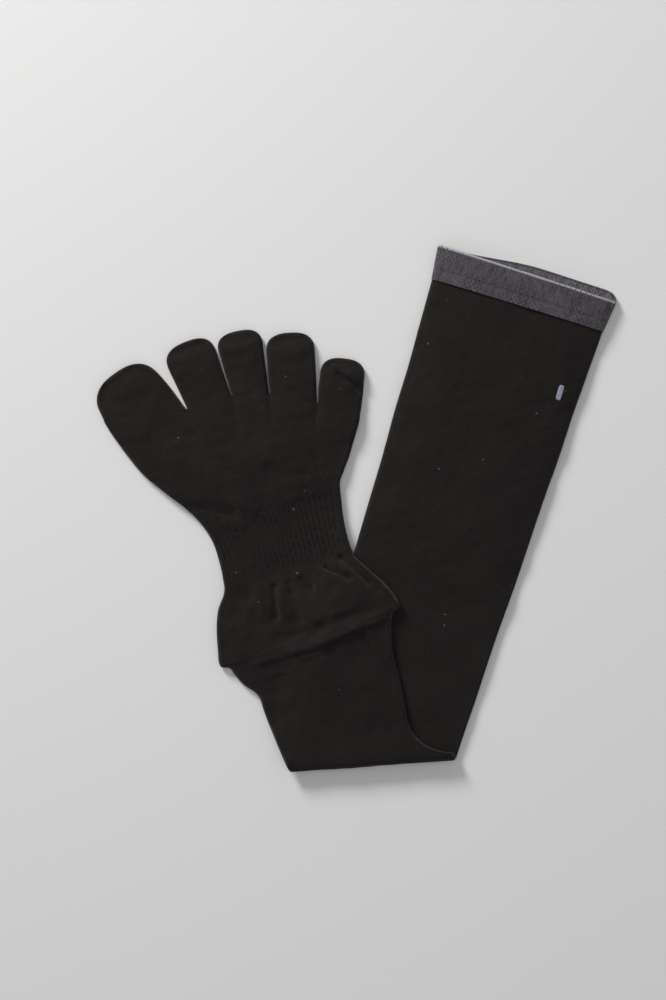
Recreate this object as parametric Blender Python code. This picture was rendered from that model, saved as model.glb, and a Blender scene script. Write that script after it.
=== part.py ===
"""A knee-high toe sock, folded over once and laid flat. Metres, +Z up.

The sock is a flattened knit tube. It is worked out in the leg's own frame: +Y runs from the middle of the
fold up to the cuff, +X is across the leg, and the leg's lower layer lies on z = 0. At the fold the tube turns
over, and the foot runs back across the leg, slanting away to the left. The foot's sections are given in the
foot's frame, whose first axis (along) is the leg's axis mirrored in the fold line, and whose second (cross)
points to the right of that. Each tube has two layers: layer A is the leg's lower layer, which the fold turns
into the foot's upper one, and layer B is the leg's upper layer, which becomes the foot's underside.
"""

import math

import bmesh
import bpy
from mathutils import Vector

# Leg and cuff
LEG_LENGTH = 0.2685  # middle of the fold to the cuff's seam
CUFF_HEIGHT = 0.0182
CUFF_FLAT_WIDTH = 0.0990  # across the flattened leg at the cuff's seam
ANKLE_FLAT_WIDTH = 0.0858  # across the flattened leg at the fold
LEG_SIDESTEP = 0.0018  # how far the cuff's middle lies to the right of the fold's
LEG_TAPER = 1.25  # power of the leg's widening, 1 is straight
MOUTH_STAGGER = 0.0050  # how far the mouth's lower edge reaches past its upper one, near its right end
MOUTH_TILT = 0.0020  # how far the mouth's left end rises, and its right end drops
MOUTH_FLARE = 0.0016  # how far each side of the mouth lies outside the cuff's seam

# Cloth
KNIT = 0.0010  # one layer of the black knit
WELT = 0.0015  # the turned, double knit of the cuff
SEAM_GAP = 0.0004  # between one knitted zone and the next
REST_GAP = 0.0004  # between the foot and the leg that it lies on

# Free height inside the flattened tube
LEG_HOLLOW = 0.0062
PRESSED_HOLLOW = 0.0014  # where the foot lies on the leg, and along the side folds
FOOT_HOLLOW = 0.0056
TURN_HOLLOW = 0.0020  # between the two arms of the fold

# Fold and foot
FOLD_TILT = math.radians(21.4)  # of the fold line against the leg's cross direction
FOOT_REACH = 0.2250  # from the middle of the fold to the front of the ball, along the foot
DRAPE_RUN = 0.0240  # run over which the foot comes down from the leg to the floor
TOE_LINE_BOW = 0.0178  # how far the toe line bows forward of a straight line
TOE_LENGTH = 0.0384  # the longest toe
TOE_WIDTH = 0.0355  # the widest toe, near its tip
TOE_HOLLOW = 0.0038
TOE_PART = 0.0008  # between neighbouring toes where they part

# Surface relief
RIB_DEPTH = 0.0005  # of the arch band's ribs
RIBS = 24  # across the arch band's upper layer
FOLD_HEIGHT = 0.0016  # the highest crease

# Powers of the crowns across a width: 2 is a round one, and a higher one is flatter
LEG_CROWN = 4
FOOT_CROWN = 3
RELIEF_CROWN = 6
STAGGER_CROWN = 8

KNIT_COLOUR = (0.016, 0.014, 0.014, 1.0)
CUFF_COLOUR = (0.125, 0.117, 0.137, 1.0)
KNIT_ROUGHNESS = 0.92

EDGE_LOFT = 2 * KNIT + PRESSED_HOLLOW
LOFT_STARTS = 0.30  # share of the leg at which it starts to fill out
LOFT_ENDS = 0.58
SKEW_ENDS = 0.52  # share of the leg over which its sections turn square
STAGGER_STARTS = 0.20  # share of the mouth's width at which its lower edge starts to show
SPRING_RUN = 4 * TURN_HOLLOW  # run over which the foot settles down from the fold

# Sections of the foot. The along columns are shares of FOOT_REACH and the cross columns of ANKLE_FLAT_WIDTH,
# for the two ends of a section. bow is a share of TOE_LINE_BOW, and hollow of FOOT_HOLLOW.
FOOT_SECTIONS = (
    # left along, left cross, right along, right cross, bow, hollow
    (0.118, -0.499, -0.026, 0.406, 0.0, 0.27),
    (0.151, -0.496, 0.016, 0.340, 0.0, 0.32),
    (0.193, -0.490, 0.066, 0.338, 0.0, 0.39),
    (0.236, -0.477, 0.120, 0.373, 0.0, 0.46),
    (0.280, -0.466, 0.173, 0.405, 0.0, 0.54),
    (0.316, -0.518, 0.227, 0.433, 0.0, 0.66),
    (0.348, -0.545, 0.280, 0.488, 0.0, 0.84),
    (0.370, -0.556, 0.318, 0.545, 0.0, 0.94),
    (0.386, -0.606, 0.328, 0.610, 0.0, 1.00),
    (0.424, -0.574, 0.360, 0.608, 0.0, 1.10),
    (0.470, -0.527, 0.397, 0.585, 0.0, 1.15),
    (0.512, -0.466, 0.430, 0.548, 0.0, 1.02),
    (0.546, -0.380, 0.460, 0.514, 0.0, 0.80),
    (0.580, -0.345, 0.492, 0.488, 0.0, 0.62),
    (0.618, -0.319, 0.538, 0.498, 0.0, 0.56),
    (0.667, -0.301, 0.587, 0.529, 0.0, 0.56),
    (0.720, -0.317, 0.631, 0.571, 0.0, 0.70),
    (0.773, -0.366, 0.667, 0.608, 0.0, 0.88),
    (0.831, -0.443, 0.691, 0.671, 0.11, 0.96),
    (0.889, -0.513, 0.713, 0.730, 0.34, 1.00),
    (0.942, -0.550, 0.738, 0.788, 0.62, 0.94),
    (0.991, -0.576, 0.762, 0.846, 0.84, 0.82),
    (1.027, -0.593, 0.781, 0.892, 1.00, 0.70),
)
# Rows of FOOT_SECTIONS, counted from 1, at which one knitted zone ends and the next starts. Row 0 is the turn's end.
HEEL_ROW = 8
ARCH_ROW = 14
BALL_ROW = 18
TOE_ROW = 23
PARTING_ROWS = 2.5  # rows before the toe line over which the ball's crown turns into the toes' own ones
TOE_LINE_LEAN = 1.35  # power that leans the toe line's bow towards the little toe, 1 is even

# Toes, from the big one. from and to are shares of the toe line, splay is the lean to the right of the foot's
# axis in degrees, length is a share of TOE_LENGTH and width of TOE_WIDTH.
TOES = (
    # name, from, to, splay, length, width
    ("big_toe", 0.000, 0.312, -9.5, 0.835, 1.000),
    ("second_toe", 0.312, 0.494, 4.0, 0.950, 0.820),
    ("third_toe", 0.494, 0.645, 13.8, 0.950, 0.740),
    ("fourth_toe", 0.645, 0.835, 22.4, 0.955, 0.755),
    ("little_toe", 0.835, 1.000, 31.6, 0.790, 0.690),
)

# Creases of the foot's upper layer, each a soft ridge or groove along a line. The along columns are shares of
# FOOT_REACH, the cross and spread columns of ANKLE_FLAT_WIDTH, and height is a share of FOLD_HEIGHT.
CREASES = (
    # from along, from cross, to along, to cross, spread, height
    (0.340, -0.30, 0.326, 0.00, 0.040, 0.80),
    (0.326, 0.00, 0.318, 0.30, 0.040, 1.00),
    (0.318, 0.30, 0.300, 0.50, 0.036, 0.80),
    (0.366, -0.26, 0.350, 0.02, 0.042, -0.75),
    (0.350, 0.02, 0.344, 0.32, 0.042, -0.90),
    (0.500, -0.07, 0.441, -0.15, 0.030, -1.00),
    (0.490, -0.02, 0.432, -0.09, 0.026, 0.80),
    (0.482, 0.03, 0.428, 0.01, 0.030, -0.90),
    (0.478, 0.09, 0.424, 0.08, 0.028, 0.50),
    (0.477, 0.16, 0.426, 0.16, 0.030, -0.70),
    (0.470, 0.25, 0.420, 0.27, 0.028, 0.55),
    (0.468, 0.35, 0.436, 0.41, 0.030, -1.00),
    (0.486, 0.45, 0.398, 0.53, 0.034, 0.85),
    (0.450, 0.42, 0.384, 0.47, 0.028, -0.60),
    (0.494, -0.34, 0.482, -0.35, 0.080, -0.85),
    (0.404, -0.24, 0.398, -0.10, 0.090, -0.60),
    (0.778, -0.19, 0.722, -0.06, 0.060, -0.55),
    (0.800, 0.32, 0.770, 0.48, 0.070, -0.35),
    (0.842, 0.10, 0.806, 0.16, 0.080, -0.30),
)

# The outline of a toe
TIP_ROUNDING = 0.78  # length of its rounded end, as a share of half its width
TIP_SQUARENESS = 2.6  # power of the rounded end's outline, 2 is an ellipse's
TOE_SQUARES = 0.55  # share of its length over which its sections turn square to its axis
TOE_WIDENS = 0.95  # share of its length at which it has its own width
TOE_SETTLES = 0.50  # share of its length over which the ball's hollow gives way to its own

# How finely the skins are cut
SIDE_ARC = (0.0, math.radians(38), math.radians(90))  # steps round a side fold
RIM_ARC = (math.radians(50), math.radians(90))  # steps over the mouth's rim
TIP_ARC = (math.radians(35), math.radians(90))  # steps over a toe's tip
TIP_STEPS = (0.10, 0.22, 0.45, 0.75)  # shares of a toe's rounded end
BODY_STEPS = (0.35, 0.7, 1.0)  # shares of the rest of a toe
LOBE_STEPS = (0.22, 0.5, 0.78, 1.0)  # shares of a toe's stretch of the ball
CUFF_COLUMNS = 15
HEEL_COLUMNS = 25
UNDER_COLUMNS = 9
TOE_COLUMNS = 5
TOE_UNDER_COLUMNS = 3
CUFF_STEPS = 4
LEG_RINGS = 18
LEG_CROWDING = 0.9  # power of the leg's ring spacing, under 1 is closer near the fold
TURN_RINGS = 5
PANEL_RINGS = 14
HEEL_RINGS = 13
ARCH_RINGS = 7
BALL_RINGS = 7


def mix(a, b, share):
    return a + (b - a) * share


def smooth(share):
    share = min(max(share, 0.0), 1.0)
    return share * share * (3 - 2 * share)


def crown(share, power):
    """1 in the middle of a width and 0 at its two ends."""
    return 1 - abs(2 * share - 1) ** power


# The leg

def leg_middle(y):
    return LEG_SIDESTEP * y / LEG_LENGTH


def leg_half_width(y):
    widening = max(y, 0.0) / LEG_LENGTH
    return mix(ANKLE_FLAT_WIDTH, CUFF_FLAT_WIDTH, widening**LEG_TAPER) / 2


def leg_hollow(x, y):
    """Free height inside the leg at a point of its plan."""
    across = (x - leg_middle(y)) / leg_half_width(y)
    fullness = smooth((y / LEG_LENGTH - LOFT_STARTS) / (LOFT_ENDS - LOFT_STARTS))
    return mix(PRESSED_HOLLOW, LEG_HOLLOW, fullness * crown(min(max(across, -1), 1) / 2 + 0.5, LEG_CROWN))


def leg_ends(y):
    """The two ends of the leg's section at y. It is square to the leg at the cuff and along the fold at the fold."""
    tilt = FOLD_TILT * (1 - smooth(y / LEG_LENGTH / SKEW_ENDS))
    ends = []
    for side in (-1, 1):
        end_y = y + side * leg_half_width(y) * math.tan(tilt)
        ends.append(Vector((leg_middle(end_y) + side * leg_half_width(end_y), end_y)))
    return ends


# The turn at the fold

FOLD_ALONG = Vector((math.cos(FOLD_TILT), math.sin(FOLD_TILT)))
FOLD_OUT = Vector((math.sin(FOLD_TILT), -math.cos(FOLD_TILT)))
TURN_AXIS_Z = EDGE_LOFT + TURN_HOLLOW / 2
TURN_DRIFT = math.pi * (TURN_AXIS_Z - EDGE_LOFT / 2) * math.tan(FOLD_TILT)
TURN_Y = TURN_AXIS_Z / math.cos(FOLD_TILT)

# The foot's frame

FOOT_ALONG = Vector((-math.sin(2 * FOLD_TILT), math.cos(2 * FOLD_TILT)))
FOOT_CROSS = Vector((math.cos(2 * FOLD_TILT), math.sin(2 * FOLD_TILT)))


def foot_point(along, cross):
    """A plan point from shares of the foot's reach and of the ankle's width."""
    return FOOT_ALONG * (along * FOOT_REACH) + FOOT_CROSS * (cross * ANKLE_FLAT_WIDTH)


def foot_shares(point):
    return point.dot(FOOT_ALONG) / FOOT_REACH, point.dot(FOOT_CROSS) / ANKLE_FLAT_WIDTH


def foot_rows():
    """(left end, right end, bow, hollow) of each section, from the end of the turn."""
    left, right = leg_ends(TURN_Y)
    drift = -FOLD_ALONG * TURN_DRIFT
    rows = [(left + drift, right + drift, 0.0, PRESSED_HOLLOW)]
    for left_along, left_cross, right_along, right_cross, bow, hollow in FOOT_SECTIONS:
        rows.append(
            (
                foot_point(left_along, left_cross),
                foot_point(right_along, right_cross),
                bow * TOE_LINE_BOW,
                hollow * FOOT_HOLLOW,
            )
        )
    return rows


FOOT_ROWS = foot_rows()


def curve_through(rows, column, place):
    """A column of rows at a fractional row, on a smooth curve through the rows."""
    last = len(rows) - 1
    place = min(max(place, 0.0), float(last))
    row = min(int(place), last - 1)
    t = place - row
    before, start, end, after = (rows[min(max(row + step, 0), last)][column] for step in (-1, 0, 1, 2))
    leaving = (end - before) / 2
    arriving = (after - start) / 2
    return mix(start, end, smooth(t)) + leaving * (t * (1 - t) ** 2) - arriving * (t**2 * (1 - t))


def floor_height(point):
    """What the foot's underside rests on: the leg, a run down from its left side, and then the floor."""
    x, y = point
    left_side = leg_middle(y) - leg_half_width(y)
    inside = max(x, left_side)
    stacked = 2 * KNIT + leg_hollow(inside, y) + REST_GAP
    stacked *= 1 - smooth((left_side - x) / DRAPE_RUN)
    from_turn = -(point.dot(FOLD_OUT) + TURN_AXIS_Z)
    spring = math.exp(-((max(from_turn, 0.0) / SPRING_RUN) ** 2))
    return stacked + (TURN_HOLLOW - REST_GAP) * spring


def distance_to_line(point, start, end):
    run = end - start
    share = min(max((point - start).dot(run) / run.length_squared, 0.0), 1.0)
    return (point - start - run * share).length


def crease_height(point):
    """How far the creases lift or sink the foot's upper layer at a plan point."""
    lift = 0.0
    for from_along, from_cross, to_along, to_cross, spread, height in CREASES:
        away = distance_to_line(point, foot_point(from_along, from_cross), foot_point(to_along, to_cross))
        lift += height * FOLD_HEIGHT * math.exp(-((away / (spread * ANKLE_FLAT_WIDTH)) ** 2))
    return lift


def toe_line_bow(across):
    return math.sin(math.pi * across**TOE_LINE_LEAN)


def foot_section(place):
    """(left end, right end, bow vector, hollow) of the foot at a fractional row."""
    left, right, bow, hollow = (curve_through(FOOT_ROWS, column, place) for column in range(4))
    run = (right - left).normalized()
    return left, right, Vector((-run.y, run.x)) * bow, hollow


def toe_lobes(across):
    """The crown of each toe, side by side along the toe line."""
    for _, start, end, *_ in TOES:
        if across <= end:
            return crown((across - start) / (end - start), FOOT_CROWN)
    return 0.0


def foot_crown(place, across):
    parting = smooth((place - (TOE_ROW - PARTING_ROWS)) / PARTING_ROWS)
    return mix(crown(across, FOOT_CROWN), toe_lobes(across), parting)


def ribs(place, across):
    """The arch band's ribs, which fade out at both its ends."""
    fade = smooth(place - ARCH_ROW) * smooth(BALL_ROW - place)
    return RIB_DEPTH * fade * crown(across, RELIEF_CROWN) * math.cos(2 * math.pi * RIBS * across) / 2


# Rings of points round a tube

def arc_steps(inset):
    """(place across the width, roundness) round the left side fold."""
    radius = EDGE_LOFT / 2 - inset
    return [(inset + radius * (1 - math.cos(angle)), math.sin(angle)) for angle in SIDE_ARC]


def columns(inset, width, shares):
    """(place across the width, roundness) from the left side fold to the right one."""
    start = arc_steps(inset)
    first = start[-1][0]
    middle = [(min(max(share * width, first), width - first), 1.0) for share in shares]
    end = [(width - x, roundness) for x, roundness in reversed(start)]
    return start + middle + end


def even(count):
    return [(step + 1) / (count + 1) for step in range(count)]


def ring(inset, width, shares_a, shares_b, place_at):
    """Points round one section. place_at(x, side, roundness) places one, and the ring runs right on A, left on B."""
    upper = [place_at(x, "A", k) for x, k in columns(inset, width, shares_a)]
    lower = [place_at(x, "B", k) for x, k in columns(inset, width, shares_b)]
    return upper + lower[-2:0:-1]


def between_layers(height_a, height_b, inset, side, roundness):
    """Height of a point of layer A or B, pulled to the middle round a side fold."""
    middle = (height_a + height_b) / 2
    own = height_a if side == "A" else height_b
    reach = abs(own - middle) - inset
    return middle + math.copysign(reach, own - middle) * roundness


LEG_A = even(7)
LEG_B = even(9)


def leg_ring(y, inset):
    left, right = leg_ends(y)
    width = (right - left).length
    run = (right - left) / width

    def place_at(x, side, roundness):
        point = left + run * x
        top = 2 * KNIT + leg_hollow(point.x, point.y)
        return point.to_3d() + Vector((0, 0, between_layers(0.0, top, inset, side, roundness)))

    return ring(inset, width, LEG_A, LEG_B, place_at)


def turn_ring(angle, inset):
    """A section partway round the fold, from 0 at the leg to pi at the foot."""
    left, right = leg_ends(TURN_Y)
    width = (right - left).length
    run = (right - left) / width
    drift = -FOLD_ALONG * (TURN_DRIFT * angle / math.pi)

    def place_at(x, side, roundness):
        radius = TURN_AXIS_Z - between_layers(0.0, EDGE_LOFT, inset, side, roundness)
        point = left + run * x + drift + FOLD_OUT * (radius * math.sin(angle))
        return point.to_3d() + Vector((0, 0, TURN_AXIS_Z - radius * math.cos(angle)))

    return ring(inset, width, LEG_A, LEG_B, place_at)


def foot_ring(place, inset, shares_a, shares_b):
    left, right, bow, hollow = foot_section(place)
    width = (right - left).length
    run = (right - left) / width

    def place_at(x, side, roundness):
        across = x / width
        point = left + run * x + bow * toe_line_bow(across)
        floor = floor_height(point)
        loft = 2 * KNIT + mix(PRESSED_HOLLOW, hollow, foot_crown(place, across))
        relief = (crease_height(point) + ribs(place, across)) * crown(across, RELIEF_CROWN)
        top = floor + loft + relief
        return point.to_3d() + Vector((0, 0, between_layers(top, floor, inset, side, roundness)))

    return ring(inset, width, shares_a, shares_b, place_at)


def places(start, end, count):
    """Fractional rows from start to end, held off both zone borders by half a seam's gap."""
    held = []
    for border, inward in ((start, 1), (end, -1)):
        near, far = (foot_section(border + step * inward) for step in (0, 0.5))
        spacing = 2 * min((near[0] - far[0]).length, (near[1] - far[1]).length)
        held.append(border + inward * SEAM_GAP / 2 / spacing)
    return [mix(held[0], held[1], step / (count - 1)) for step in range(count)]


# Solids

def join_rings(mesh, first, second):
    for step in range(len(first)):
        after = (step + 1) % len(first)
        mesh.faces.new((first[step], first[after], second[after], second[step]))


def solid_from(name, rings, tips=None):
    """A named object. Without tips the rings close on themselves, and with them each end of the list is a cone."""
    mesh = bmesh.new()
    loops = [[mesh.verts.new(point) for point in points] for points in rings]
    for first, second in zip(loops, loops[1:]):
        join_rings(mesh, first, second)
    if tips is None:
        join_rings(mesh, loops[-1], loops[0])
    else:
        for tip, loop in zip(tips, (loops[0], loops[-1])):
            point = mesh.verts.new(tip)
            for step in range(len(loop)):
                mesh.faces.new((loop[step], loop[(step + 1) % len(loop)], point))
    bmesh.ops.recalc_face_normals(mesh, faces=mesh.faces)
    if mesh.calc_volume(signed=True) < 0:
        bmesh.ops.reverse_faces(mesh, faces=mesh.faces)
    data = bpy.data.meshes.new(name)
    mesh.to_mesh(data)
    mesh.free()
    data.shade_smooth()
    made = bpy.data.objects.new(name, data)
    bpy.context.scene.collection.objects.link(made)
    return made


def open_tube(name, outer, inner):
    return solid_from(name, outer + inner[::-1])


def make_cuff():
    """The grey welt: a double knit turned over at the mouth, whose lower edge reaches past the upper one."""
    start = LEG_LENGTH + SEAM_GAP / 2
    end = LEG_LENGTH + CUFF_HEIGHT
    rim = WELT / 2
    shares = even(CUFF_COLUMNS)

    def cuff_ring(y, inset):
        left, right = leg_ends(y)
        risen = (y - start) / (end - start)
        spare = WELT - KNIT + MOUTH_FLARE * risen
        width = (right - left).length + 2 * spare

        def place_at(x, side, roundness):
            across = x / width
            x += left.x - spare
            rise = MOUTH_TILT * (1 - 2 * across)
            if side == "A":
                shown = smooth((across - STAGGER_STARTS) / (1 - STAGGER_STARTS))
                rise += MOUTH_STAGGER * shown * crown(across, STAGGER_CROWN)
            top = 2 * WELT + leg_hollow(min(max(x, left.x), right.x), y)
            return Vector((x, y + rise * risen, between_layers(0.0, top, inset, side, roundness)))

        return ring(inset, width, shares, shares, place_at)

    body = [mix(start, end - rim, step / CUFF_STEPS) for step in range(CUFF_STEPS + 1)]
    bend = [rim * math.sin(angle) for angle in RIM_ARC]
    pull = [rim * (1 - math.cos(angle)) for angle in RIM_ARC]
    outer = [cuff_ring(y, 0.0) for y in body]
    outer += [cuff_ring(end - rim + out, inward) for out, inward in zip(bend, pull)]
    inner = [cuff_ring(y, WELT) for y in body]
    inner.append(cuff_ring(end - rim + bend[0], WELT - pull[0]))
    return open_tube("cuff", outer, inner)


def make_leg():
    """The plain tube from the cuff's seam down to the fold, over it, and up to the gathered heel."""
    runs = [(step / (LEG_RINGS - 1)) ** LEG_CROWDING for step in range(LEG_RINGS)]
    leg_ys = [mix(LEG_LENGTH - SEAM_GAP / 2, TURN_Y, run) for run in runs]
    turn_angles = [math.pi * share for share in even(TURN_RINGS)]
    foot_places = [0.0, 0.5] + places(1, HEEL_ROW, PANEL_RINGS)[1:]
    skins = []
    for inset in (0.0, KNIT):
        skin = [leg_ring(y, inset) for y in leg_ys]
        skin += [turn_ring(angle, inset) for angle in turn_angles]
        skin += [foot_ring(place, inset, LEG_A, LEG_B) for place in foot_places]
        skins.append(skin)
    return open_tube("leg", *skins)


def make_foot_zone(name, start, end, count, shares_a, shares_b):
    skins = []
    for inset in (0.0, KNIT):
        skins.append([foot_ring(place, inset, shares_a, shares_b) for place in places(start, end, count)])
    return open_tube(name, *skins)


def make_toe(name, start, end, splay, length, width):
    """One toe: a closed sleeve from its stretch of the toe line to a rounded tip."""
    left_end, right_end, bow, row_hollow = foot_section(TOE_ROW)
    line = right_end - left_end
    part = TOE_PART / 2 / line.length
    base_start = start + (part if start > 0 else 0.0)
    base_end = end - (part if end < 1 else 0.0)

    def on_toe_line(across):
        return left_end + line * across + bow * toe_line_bow(across)

    base_left = on_toe_line(base_start)
    base_right = on_toe_line(base_end)
    base_middle = (base_left + base_right) / 2
    lean = math.radians(splay)
    axis = FOOT_ALONG * math.cos(lean) + FOOT_CROSS * math.sin(lean)
    side = Vector((axis.y, -axis.x))
    reach = length * TOE_LENGTH
    half_width = width * TOE_WIDTH / 2
    base_half = (base_right - base_left) / 2
    rounding = TIP_ROUNDING * half_width
    rim = EDGE_LOFT / 2

    def toe_ring(from_tip, inset):
        """A section this far short of the outer tip."""
        run = reach - from_tip
        squared = smooth(run / (TOE_SQUARES * reach))
        widened = min(run / (TOE_WIDENS * reach), 1.0)
        half = base_half.lerp(side * base_half.length, squared).normalized()
        half *= mix(base_half.length, half_width, widened)
        inner_tip = max(from_tip - inset, 0.0)
        near_tip = max(1 - inner_tip / (rounding - inset), 0.0)
        narrowing = (1 - near_tip**TIP_SQUARENESS) ** (1 / TIP_SQUARENESS)
        half_across = (half.length - inset) * narrowing + inset
        direction = half.normalized()
        middle = base_middle + axis * run
        left = middle - direction * half_across
        rim_left = max(1 - inner_tip / (rim - inset), 0.0)
        tip_roundness = math.sqrt(1 - rim_left**2)
        hollow = mix(row_hollow, TOE_HOLLOW, smooth(run / (TOE_SETTLES * reach)))
        edge = min(1.0, half_across / (2 * rim))

        def place_at(x, side_name, roundness):
            across = x / (2 * half_across)
            bowed = on_toe_line(mix(base_start, base_end, across)) - base_left.lerp(base_right, across)
            point = left + direction * x + bowed * (1 - squared)
            floor = floor_height(point)
            loft = 2 * KNIT + mix(PRESSED_HOLLOW, hollow, crown(across, FOOT_CROWN) * edge)
            loft = mix(EDGE_LOFT, loft, smooth(inner_tip / rounding))
            height = between_layers(floor + loft, floor, inset, side_name, roundness * tip_roundness)
            return point.to_3d() + Vector((0, 0, height))

        return ring(inset, 2 * half_across, even(TOE_COLUMNS), even(TOE_UNDER_COLUMNS), place_at)

    def tip_at(inset):
        return (base_middle + axis * (reach - inset)).to_3d() + Vector((0, 0, EDGE_LOFT / 2))

    seam = reach - SEAM_GAP
    skins = []
    for inset in (0.0, KNIT):
        rim_steps = [(rim - inset) * (1 - math.cos(angle)) for angle in TIP_ARC]
        steps = [inset + step for step in rim_steps] + [inset + share * rounding + rim for share in TIP_STEPS]
        body = [mix(steps[-1], seam, share) for share in BODY_STEPS]
        skins.append([toe_ring(from_tip, inset) for from_tip in steps + body])
    outer, inner = skins
    return solid_from(name, outer + inner[::-1], tips=(tip_at(0.0), tip_at(KNIT)))


def material(name, colour):
    made = bpy.data.materials.new(name)
    made.use_nodes = True
    shader = made.node_tree.nodes["Principled BSDF"]
    shader.inputs["Base Color"].default_value = colour
    shader.inputs["Roughness"].default_value = KNIT_ROUGHNESS
    shader.inputs["Metallic"].default_value = 0.0
    return made


def stand_on_origin(objects):
    """Moves the origin to the middle of the sock's underside."""
    corners = [vertex.co for made in objects for vertex in made.data.vertices]
    low = Vector([min(corner[axis] for corner in corners) for axis in range(3)])
    high = Vector([max(corner[axis] for corner in corners) for axis in range(3)])
    middle = (low + high) / 2
    for made in objects:
        made.location = (-middle.x, -middle.y, -low.z)


def main():
    for old in list(bpy.data.objects):
        bpy.data.objects.remove(old)
    rib_shares = [step / (2 * RIBS) for step in range(2, 2 * RIBS - 1)]
    ball_shares = []
    for _, start, end, *_ in TOES:
        ball_shares += [mix(start, end, share) for share in LOBE_STEPS]
    under = even(UNDER_COLUMNS)
    knitted = [
        make_leg(),
        make_foot_zone("heel", HEEL_ROW, ARCH_ROW, HEEL_RINGS, even(HEEL_COLUMNS), under),
        make_foot_zone("arch_band", ARCH_ROW, BALL_ROW, ARCH_RINGS, rib_shares, under),
        make_foot_zone("ball_of_foot", BALL_ROW, TOE_ROW, BALL_RINGS, ball_shares[:-1], under),
    ]
    knitted += [make_toe(*toe) for toe in TOES]
    cuff = make_cuff()
    black = material("black_knit", KNIT_COLOUR)
    for made in knitted:
        made.data.materials.append(black)
    cuff.data.materials.append(material("grey_welt", CUFF_COLOUR))
    stand_on_origin(knitted + [cuff])


main()
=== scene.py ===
"""The looks of a knee-high toe sock that lies folded over once. Metres, +Z up.

The skins follow the solids' own sections, at stitch scale. The leg's frame has +Y from the middle of the fold
up to the cuff. The foot's frame is the leg's, mirrored in the fold line. Each skin is a grid: its rows are
sections across the sock, and its columns run round them, first along layer A, then back along layer B.
Layer A is the leg's lower layer, which the fold turns into the foot's upper one.
"""

import math

import bpy
import numpy as np
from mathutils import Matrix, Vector


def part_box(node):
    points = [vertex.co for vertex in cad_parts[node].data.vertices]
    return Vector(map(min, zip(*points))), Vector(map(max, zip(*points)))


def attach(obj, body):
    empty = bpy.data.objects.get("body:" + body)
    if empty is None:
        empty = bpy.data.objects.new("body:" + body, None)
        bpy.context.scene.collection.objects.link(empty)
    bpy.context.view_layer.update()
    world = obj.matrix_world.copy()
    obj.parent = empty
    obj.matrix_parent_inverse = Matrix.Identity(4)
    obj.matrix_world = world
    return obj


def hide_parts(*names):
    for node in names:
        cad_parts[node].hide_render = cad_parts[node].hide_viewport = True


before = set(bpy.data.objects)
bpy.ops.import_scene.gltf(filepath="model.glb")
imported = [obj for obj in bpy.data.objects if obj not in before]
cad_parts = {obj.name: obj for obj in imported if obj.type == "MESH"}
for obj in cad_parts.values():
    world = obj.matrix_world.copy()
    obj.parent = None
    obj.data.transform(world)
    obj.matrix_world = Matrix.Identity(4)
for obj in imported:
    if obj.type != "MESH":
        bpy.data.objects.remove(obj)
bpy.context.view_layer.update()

# Leg and cuff
LEG_LENGTH = 0.2685  # middle of the fold to the cuff's seam
CUFF_HEIGHT = 0.0182
CUFF_FLAT_WIDTH = 0.0990  # across the flattened leg at the cuff's seam
ANKLE_FLAT_WIDTH = 0.0858  # across the flattened leg at the fold
LEG_SIDESTEP = 0.0018  # how far the cuff's middle lies to the right of the fold's
LEG_TAPER = 1.25  # power of the leg's widening, 1 is straight
MOUTH_STAGGER = 0.0050  # how far the mouth's lower edge reaches past its upper one
MOUTH_TILT = 0.0008  # how far the mouth's left end rises, and its right end drops
MOUTH_LIFT = 0.0006  # how far the whole mouth reaches past CUFF_HEIGHT
MOUTH_FLARE = 0.0016  # how far each side of the mouth lies outside the cuff's seam

# Cloth
KNIT = 0.0010  # one layer of the black knit
WELT = 0.0015  # the turned, double knit of the cuff
SEAM_GAP = 0.0004  # between one solid zone and the next
REST_GAP = 0.0004  # between the foot and the leg that it lies on

# Free height inside the flattened tube
LEG_HOLLOW = 0.0062
PRESSED_HOLLOW = 0.0014  # where the foot lies on the leg, and along the side folds
FOOT_HOLLOW = 0.0056
TURN_HOLLOW = 0.0020  # between the two arms of the fold
LOFT_STARTS = 0.30  # share of the leg at which it starts to fill out
LOFT_ENDS = 0.58
SKEW_ENDS = 0.52  # share of the leg over which its sections turn square
STAGGER_STARTS = 0.06  # share of the mouth's width at which its lower edge starts to show
STAGGER_RUN = 0.52  # share of that width over which it comes out fully
SPRING_RUN = 4 * TURN_HOLLOW  # run over which the foot settles down from the fold
EDGE_LOFT = 2 * KNIT + PRESSED_HOLLOW

# Fold and foot
FOLD_TILT = math.radians(21.4)  # of the fold line against the leg's cross direction
FOOT_REACH = 0.2250  # from the middle of the fold to the front of the ball, along the foot
DRAPE_RUN = 0.0240  # run over which the foot comes down from the leg to the floor
TOE_LINE_BOW = 0.0178  # how far the toe line bows forward of a straight line
TOE_LENGTH = 0.0384  # the longest toe
TOE_WIDTH = 0.0355  # the widest toe, near its tip
TOE_HOLLOW = 0.0038
TOE_PART = 0.0004  # between neighbouring toes where they part

# The outline of a toe
TIP_ROUNDING = 0.78  # length of its rounded end, as a share of half its width
TIP_SQUARENESS = 2.6  # power of the rounded end's outline, 2 is an ellipse's
TOE_SQUARES = 0.55  # share of its length over which its sections turn square to its axis
TOE_WIDENS = 0.95  # share of its length at which it has its own width
TOE_SETTLES = 0.50  # share of its length over which the ball's hollow gives way to its own

# Powers of the crowns across a width: 2 is a round one, and a higher one is flatter
LEG_CROWN = 4
FOOT_CROWN = 3
RELIEF_CROWN = 8
STAGGER_CROWN = 26

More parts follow.
